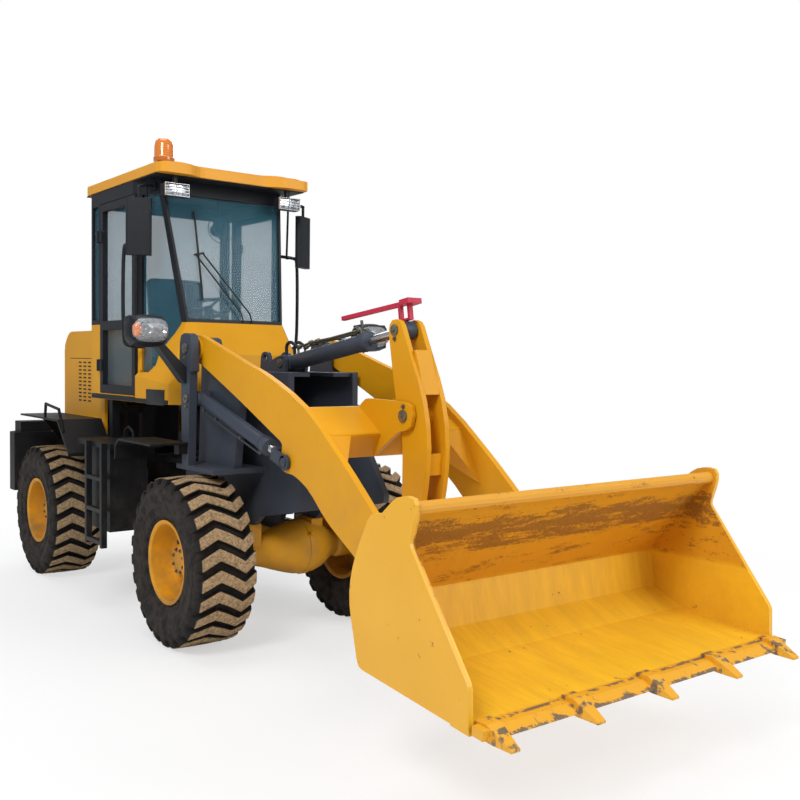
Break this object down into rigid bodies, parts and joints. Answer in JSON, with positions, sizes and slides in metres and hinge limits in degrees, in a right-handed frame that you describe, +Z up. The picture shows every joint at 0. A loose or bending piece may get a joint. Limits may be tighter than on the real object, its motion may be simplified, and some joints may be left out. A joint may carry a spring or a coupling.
{
  "type": "compact wheel loader",
  "caption": "Articulated compact wheel loader with an enclosed cab, twin lift arms, a bell-crank tilt linkage and a toothed bucket.",
  "frame": {"origin": "the middle of the machine's bounding box, on the ground under its wheels", "axes": "+X forward towards the bucket, +Y to the machine's left, +Z up"},
  "size_m": [6.6403, 2.022, 3.3686],
  "materials": {
    "yellow_paint": "semi-gloss machine enamel",
    "roof_paint": "satin moulded roof",
    "frame_paint": "satin dark blue-grey enamel",
    "black_trim": "satin black",
    "tyre_rubber": "dusty, worn",
    "glazing": "clear, green tint",
    "rod_steel": "polished",
    "red_paint": "satin",
    "amber_plastic": "clear amber",
    "seat_fabric": "woven",
    "lamp_lens": "clear over chrome"
  },
  "bodies": {
    "rear_body": {"rear_frame": "frame_paint", "rear_axle": "yellow_paint", "counterweight": "frame_paint", "engine_block": "black_trim", "cab_body": "yellow_paint", "cab_frame": "black_trim", "cab_roof": "roof_paint", "windscreen": "glazing", "rear_glass": "glazing", "driver_seat": "seat_fabric", "seat_base": "black_trim", "steering_console": "black_trim", "beacon": "amber_plastic", "corner_glass_right": "glazing", "corner_glass_left": "glazing", "quarter_glass_right": "glazing", "quarter_glass_left": "glazing", "mirror_right": "black_trim", "mirror_left": "black_trim", "side_tank_right": "frame_paint", "side_tank_left": "frame_paint", "rear_mudguard_right": "frame_paint", "rear_mudguard_left": "frame_paint"},
    "front_body": {"front_frame": "frame_paint", "front_axle": "yellow_paint", "front_mudguard_right": "frame_paint", "front_mudguard_left": "frame_paint", "head_lamp_right": "lamp_lens", "head_lamp_left": "lamp_lens"},
    "hood_body": {"engine_hood": "yellow_paint", "hood_grille": "black_trim"},
    "boom_body": {"boom": "yellow_paint"},
    "crank_body": {"bell_crank": "yellow_paint"},
    "link_body": {"bucket_link": "yellow_paint"},
    "bucket_body": {"bucket_shell": "yellow_paint", "cutting_edge": "yellow_paint"},
    "tilt_barrel_body": {"tilt_barrel": "frame_paint"},
    "tilt_rod_body": {"tilt_rod": "rod_steel", "level_indicator": "red_paint"},
    "door_right_body": {"cab_door_right": "black_trim", "door_glass_right": "glazing"},
    "lift_barrel_right_body": {"lift_barrel_right": "frame_paint"},
    "lift_rod_right_body": {"lift_rod_right": "rod_steel"},
    "steer_barrel_right_body": {"steer_barrel_right": "frame_paint"},
    "steer_rod_right_body": {"steer_rod_right": "rod_steel"},
    "front_right_wheel": {"front_right_rim": "yellow_paint", "front_right_tyre": "tyre_rubber"},
    "rear_right_wheel": {"rear_right_rim": "yellow_paint", "rear_right_tyre": "tyre_rubber"},
    "door_left_body": {"cab_door_left": "black_trim", "door_glass_left": "glazing"},
    "lift_barrel_left_body": {"lift_barrel_left": "frame_paint"},
    "lift_rod_left_body": {"lift_rod_left": "rod_steel"},
    "steer_barrel_left_body": {"steer_barrel_left": "frame_paint"},
    "steer_rod_left_body": {"steer_rod_left": "rod_steel"},
    "front_left_wheel": {"front_left_rim": "yellow_paint", "front_left_tyre": "tyre_rubber"},
    "rear_left_wheel": {"rear_left_rim": "yellow_paint", "rear_left_tyre": "tyre_rubber"}
  },
  "joints": [
    {"name": "steering", "type": "hinge", "parent": "rear_body", "child": "front_body", "pos_m": [-1.1783, 0, 0.8], "axis": [0, 0, 1], "range_deg": [-35, 35]},
    {"name": "lift", "type": "hinge", "parent": "front_body", "child": "boom_body", "pos_m": [-0.0703, 0, 1.885], "axis": [0, -1, 0], "range_deg": [-13.5, 61]},
    {"name": "bucket_tilt", "type": "hinge", "parent": "boom_body", "child": "bucket_body", "pos_m": [2.2297, 0, 0.66], "axis": [0, -1, 0], "range_deg": [-95, 45]},
    {"name": "crank_swing", "type": "hinge", "parent": "boom_body", "child": "crank_body", "pos_m": [1.5897, 0, 1.52], "axis": [0, -1, 0], "range_deg": [-14.5, 29.5]},
    {"name": "link_swing", "type": "hinge", "parent": "bucket_body", "child": "link_body", "pos_m": [2.2697, 0, 0.86], "axis": [0, -1, 0], "range_deg": [-38.17, 79.47]},
    {"name": "tilt_barrel_swing", "type": "hinge", "parent": "front_body", "child": "tilt_barrel_body", "pos_m": [0.2397, 0, 1.798], "axis": [0, -1, 0], "range_deg": [-16.12, 69.32]},
    {"name": "tilt_rod_slide", "type": "slide", "parent": "tilt_barrel_body", "child": "tilt_rod_body", "axis": [0.9874, 0, 0.158], "range_m": [-0.2312, 0.1116]},
    {"name": "hood_opening", "type": "hinge", "parent": "rear_body", "child": "hood_body", "pos_m": [-2.8003, 0, 1.15], "axis": [0, -1, 0], "range_deg": [0, 55]},
    {"name": "door_right", "type": "hinge", "parent": "rear_body", "child": "door_right_body", "pos_m": [-1.6353, -0.6134, 2.265], "axis": [0, 0, -1], "range_deg": [0, 100]},
    {"name": "lift_barrel_right_swing", "type": "hinge", "parent": "front_body", "child": "lift_barrel_right_body", "pos_m": [-0.0503, -0.51, 1.56], "axis": [0, -1, 0], "range_deg": [-14.3, 61.09]},
    {"name": "lift_rod_right_slide", "type": "slide", "parent": "lift_barrel_right_body", "child": "lift_rod_right_body", "axis": [0.9609, 0, -0.277], "range_m": [-0.0761, 0.3298]},
    {"name": "steer_barrel_right_swing", "type": "hinge", "parent": "rear_body", "child": "steer_barrel_right_body", "pos_m": [-1.4483, -0.21, 0.8], "axis": [0, 0, 1], "range_deg": [-19.73, 19.73]},
    {"name": "steer_rod_right_slide", "type": "slide", "parent": "steer_barrel_right_body", "child": "steer_rod_right_body", "axis": [0.9994, -0.0357, 0], "range_m": [-0.1359, 0.1359]},
    {"name": "front_right_wheel_spin", "type": "hinge", "parent": "front_body", "child": "front_right_wheel", "pos_m": [0.0997, -0.655, 0.5375], "axis": [0, 1, 0], "continuous": true},
    {"name": "rear_right_wheel_spin", "type": "hinge", "parent": "rear_body", "child": "rear_right_wheel", "pos_m": [-2.4563, -0.655, 0.5375], "axis": [0, 1, 0], "continuous": true},
    {"name": "door_left", "type": "hinge", "parent": "rear_body", "child": "door_left_body", "pos_m": [-1.6353, 0.6134, 2.265], "axis": [0, 0, 1], "range_deg": [0, 100]},
    {"name": "lift_barrel_left_swing", "type": "hinge", "parent": "front_body", "child": "lift_barrel_left_body", "pos_m": [-0.0503, 0.51, 1.56], "axis": [0, -1, 0], "range_deg": [-14.3, 61.09]},
    {"name": "lift_rod_left_slide", "type": "slide", "parent": "lift_barrel_left_body", "child": "lift_rod_left_body", "axis": [0.9609, 0, -0.277], "range_m": [-0.0761, 0.3298]},
    {"name": "steer_barrel_left_swing", "type": "hinge", "parent": "rear_body", "child": "steer_barrel_left_body", "pos_m": [-1.4483, 0.21, 0.8], "axis": [0, 0, 1], "range_deg": [-19.73, 19.73]},
    {"name": "steer_rod_left_slide", "type": "slide", "parent": "steer_barrel_left_body", "child": "steer_rod_left_body", "axis": [0.9994, 0.0357, 0], "range_m": [-0.1359, 0.1359]},
    {"name": "front_left_wheel_spin", "type": "hinge", "parent": "front_body", "child": "front_left_wheel", "pos_m": [0.0997, 0.655, 0.5375], "axis": [0, 1, 0], "continuous": true},
    {"name": "rear_left_wheel_spin", "type": "hinge", "parent": "rear_body", "child": "rear_left_wheel", "pos_m": [-2.4563, 0.655, 0.5375], "axis": [0, 1, 0], "continuous": true}
  ],
  "couplings": [
    {"joint": "crank_swing", "follows": "bucket_tilt", "ratio": -0.3},
    {"joint": "link_swing", "follows": "bucket_tilt", "ratio": -0.826},
    {"joint": "tilt_barrel_swing", "follows": "lift", "ratio": 1.12},
    {"joint": "tilt_rod_slide", "follows": "bucket_tilt", "m_per_rad": 0.137},
    {"joint": "lift_barrel_right_swing", "follows": "lift", "ratio": 0.985},
    {"joint": "lift_rod_right_slide", "follows": "lift", "m_per_rad": 0.306},
    {"joint": "steer_barrel_right_swing", "follows": "steering", "ratio": 0.535},
    {"joint": "steer_rod_right_slide", "follows": "steering", "m_per_rad": 0.216},
    {"joint": "lift_barrel_left_swing", "follows": "lift", "ratio": 0.985},
    {"joint": "lift_rod_left_slide", "follows": "lift", "m_per_rad": 0.306},
    {"joint": "steer_barrel_left_swing", "follows": "steering", "ratio": 0.535},
    {"joint": "steer_rod_left_slide", "follows": "steering", "m_per_rad": -0.216}
  ]
}
